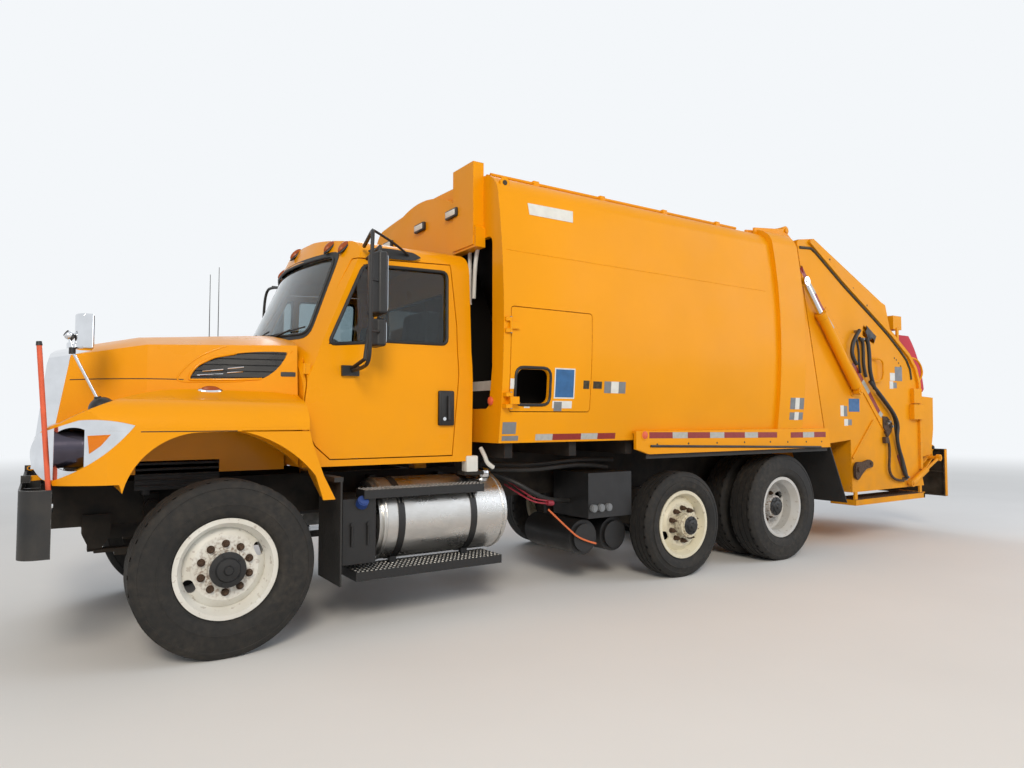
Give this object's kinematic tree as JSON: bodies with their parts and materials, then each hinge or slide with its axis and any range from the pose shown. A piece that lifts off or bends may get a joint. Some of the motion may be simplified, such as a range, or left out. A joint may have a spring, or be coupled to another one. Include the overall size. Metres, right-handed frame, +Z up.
{
  "type": "rear-loading garbage truck",
  "caption": "Rear-loading garbage truck with a long-hood cab, curved load body, lifting tailgate, packer blade, cart tipper and steered front wheels",
  "frame": {"origin": "ground level under the middle of the overall box, wheels standing on Z = 0", "axes": "+X forward to the bumper, +Y to the driver's side (left), +Z up"},
  "size_m": [9.48, 2.634, 3.4179],
  "materials": {
    "axle_steel": "worn black paint",
    "blade_red": "faded red paint",
    "body_yellow": "gloss paint, lightly worn",
    "box_black": "matt black",
    "cab_trim": "dark trim",
    "chrome_trim": "polished",
    "engine_grey": "cast, dusty",
    "exhaust_steel": "dull steel",
    "flap_rubber": "matt rubber",
    "frame_black": "satin black paint",
    "lamp_lens": "clear lens over a bright reflector",
    "mirror_black": "matt black",
    "packer_paint": "scuffed paint",
    "rim_white": "gloss white paint, chipped",
    "rod_chrome": "polished rod",
    "tank_aluminium": "polished, weathered",
    "tipper_dark": "worn dark paint",
    "tyre_black": "worn tread rubber",
    "window_glass": "tinted glass"
  },
  "bodies": {
    "chassis": {"front_axle": "axle_steel", "rear_axles": "axle_steel", "suspension": "axle_steel", "chassis_frame": "frame_black", "body_crossbars": "frame_black", "front_bumper": "frame_black", "engine_and_gearbox": "engine_grey", "fuel_tank": "tank_aluminium", "side_boxes": "box_black", "exhaust": "exhaust_steel", "mudflaps": "flap_rubber", "body_shell": "body_yellow", "headboard": "body_yellow", "cab_shell": "body_yellow", "cab_glass": "window_glass", "cab_interior": "cab_trim"},
    "hood": {"hood": "body_yellow", "headlamps": "lamp_lens", "grille": "chrome_trim", "hood_mirrors": "chrome_trim", "hood_trim": "mirror_black"},
    "knuckle_left": {"knuckle_left": "axle_steel"},
    "knuckle_right": {"knuckle_right": "axle_steel"},
    "track_rod": {"track_rod": "axle_steel"},
    "steering_wheel": {"steering_wheel": "cab_trim"},
    "front_wheel_left": {"front_rim_left": "rim_white", "front_tyre_left": "tyre_black"},
    "front_wheel_right": {"front_rim_right": "rim_white", "front_tyre_right": "tyre_black"},
    "pusher_wheel_left": {"pusher_rim_left": "rim_white", "pusher_tyre_left": "tyre_black"},
    "pusher_wheel_right": {"pusher_rim_right": "rim_white", "pusher_tyre_right": "tyre_black"},
    "drive_wheels_left": {"drive_rims_left": "rim_white", "drive_tyres_left": "tyre_black"},
    "drive_wheels_right": {"drive_rims_right": "rim_white", "drive_tyres_right": "tyre_black"},
    "door_left": {"door_left": "body_yellow", "door_glass_left": "window_glass", "mirror_left": "mirror_black"},
    "door_right": {"door_right": "body_yellow", "door_glass_right": "window_glass", "mirror_right": "mirror_black"},
    "access_door": {"access_door": "body_yellow"},
    "ejector_panel": {"ejector_panel": "packer_paint"},
    "tailgate": {"tailgate": "body_yellow"},
    "packer_slide": {"packer_slide": "packer_paint"},
    "packer_blade": {"packer_blade": "blade_red"},
    "cart_tipper": {"cart_tipper": "tipper_dark"},
    "lift_barrel_left": {"lift_barrel_left": "body_yellow"},
    "lift_barrel_right": {"lift_barrel_right": "body_yellow"},
    "lift_rod_left": {"lift_rod_left": "rod_chrome"},
    "lift_rod_right": {"lift_rod_right": "rod_chrome"}
  },
  "joints": [
    {"name": "steer_left", "type": "hinge", "parent": "chassis", "child": "knuckle_left", "pos_m": [3.71, 0.8, 0.522], "axis": [0, 0, 1], "range_deg": [-35, 35]},
    {"name": "steer_right", "type": "hinge", "parent": "chassis", "child": "knuckle_right", "pos_m": [3.71, -0.8, 0.522], "axis": [0, 0, 1], "range_deg": [-35, 35]},
    {"name": "track_rod_pivot", "type": "hinge", "parent": "knuckle_left", "child": "track_rod", "pos_m": [3.51, 0.745, 0.4], "axis": [0, 0, 1], "range_deg": [-35, 35]},
    {"name": "steering_wheel_turn", "type": "hinge", "parent": "chassis", "child": "steering_wheel", "pos_m": [2.805, 0.48, 1.79], "axis": [-0.8258, 0, 0.564], "range_deg": [-526, 526]},
    {"name": "front_wheel_left_spin", "type": "hinge", "parent": "knuckle_left", "child": "front_wheel_left", "pos_m": [3.71, 1.02, 0.522], "axis": [0, 1, 0], "continuous": true},
    {"name": "front_wheel_right_spin", "type": "hinge", "parent": "knuckle_right", "child": "front_wheel_right", "pos_m": [3.71, -1.02, 0.522], "axis": [0, 1, 0], "continuous": true},
    {"name": "pusher_wheel_left_spin", "type": "hinge", "parent": "chassis", "child": "pusher_wheel_left", "pos_m": [-0.14, 1.015, 0.465], "axis": [0, 1, 0], "continuous": true},
    {"name": "drive_wheels_left_spin", "type": "hinge", "parent": "chassis", "child": "drive_wheels_left", "pos_m": [-1.53, 0.855, 0.522], "axis": [0, 1, 0], "continuous": true},
    {"name": "pusher_wheel_right_spin", "type": "hinge", "parent": "chassis", "child": "pusher_wheel_right", "pos_m": [-0.14, -1.015, 0.465], "axis": [0, 1, 0], "continuous": true},
    {"name": "drive_wheels_right_spin", "type": "hinge", "parent": "chassis", "child": "drive_wheels_right", "pos_m": [-1.53, -0.855, 0.522], "axis": [0, 1, 0], "continuous": true},
    {"name": "hood_tilt", "type": "hinge", "parent": "chassis", "child": "hood", "pos_m": [4.71, 0, 1.056], "axis": [0, 1, 0], "range_deg": [0, 75]},
    {"name": "door_left_swing", "type": "hinge", "parent": "chassis", "child": "door_left", "pos_m": [3.224, 0.991, 1.5], "axis": [0, 0, -1], "range_deg": [0, 65]},
    {"name": "door_right_swing", "type": "hinge", "parent": "chassis", "child": "door_right", "pos_m": [3.224, -0.991, 1.5], "axis": [0, 0, 1], "range_deg": [0, 65]},
    {"name": "access_door_swing", "type": "hinge", "parent": "chassis", "child": "access_door", "pos_m": [1.788, 1.262, 1.83], "axis": [0, 0, -1], "range_deg": [0, 100]},
    {"name": "ejector_push", "type": "slide", "parent": "chassis", "child": "ejector_panel", "axis": [-1, 0, 0], "range_m": [0, 2.65]},
    {"name": "tailgate_raise", "type": "hinge", "parent": "chassis", "child": "tailgate", "pos_m": [-1.82, 0, 3.37], "axis": [0, 1, 0], "range_deg": [0, 88]},
    {"name": "packer_slide_travel", "type": "slide", "parent": "tailgate", "child": "packer_slide", "axis": [-0.682, 0, -0.7314], "range_m": [0, 0.5]},
    {"name": "packer_blade_swing", "type": "hinge", "parent": "packer_slide", "child": "packer_blade", "pos_m": [-3.49, 0, 2.25], "axis": [0, -1, 0], "range_deg": [0, 110]},
    {"name": "cart_tipper_swing", "type": "hinge", "parent": "tailgate", "child": "cart_tipper", "pos_m": [-4.655, 0, 1.035], "axis": [0, 1, 0], "range_deg": [0, 110]},
    {"name": "lift_barrel_left_swing", "type": "hinge", "parent": "tailgate", "child": "lift_barrel_left", "pos_m": [-2.74, 1.236, 1.7], "axis": [0, 1, 0], "range_deg": [-0.5, 7.24]},
    {"name": "lift_rod_left_stroke", "type": "slide", "parent": "lift_barrel_left", "child": "lift_rod_left", "axis": [0.6436, 0, 0.7654], "range_m": [-0.002, 0.802]},
    {"name": "lift_barrel_right_swing", "type": "hinge", "parent": "tailgate", "child": "lift_barrel_right", "pos_m": [-2.74, -1.236, 1.7], "axis": [0, 1, 0], "range_deg": [-0.5, 7.24]},
    {"name": "lift_rod_right_stroke", "type": "slide", "parent": "lift_barrel_right", "child": "lift_rod_right", "axis": [0.6436, 0, 0.7654], "range_m": [-0.002, 0.802]}
  ],
  "couplings": [
    {"joint": "steer_right", "follows": "steer_left", "ratio": 1},
    {"joint": "track_rod_pivot", "follows": "steer_left", "ratio": -1},
    {"joint": "steering_wheel_turn", "follows": "steer_left", "ratio": 15},
    {"joint": "lift_barrel_left_swing", "follows": "tailgate_raise", "ratio": 0.0766},
    {"joint": "lift_rod_left_stroke", "follows": "tailgate_raise", "m_per_rad": 0.5154},
    {"joint": "lift_barrel_right_swing", "follows": "tailgate_raise", "ratio": 0.0766},
    {"joint": "lift_rod_right_stroke", "follows": "tailgate_raise", "m_per_rad": 0.5154}
  ]
}
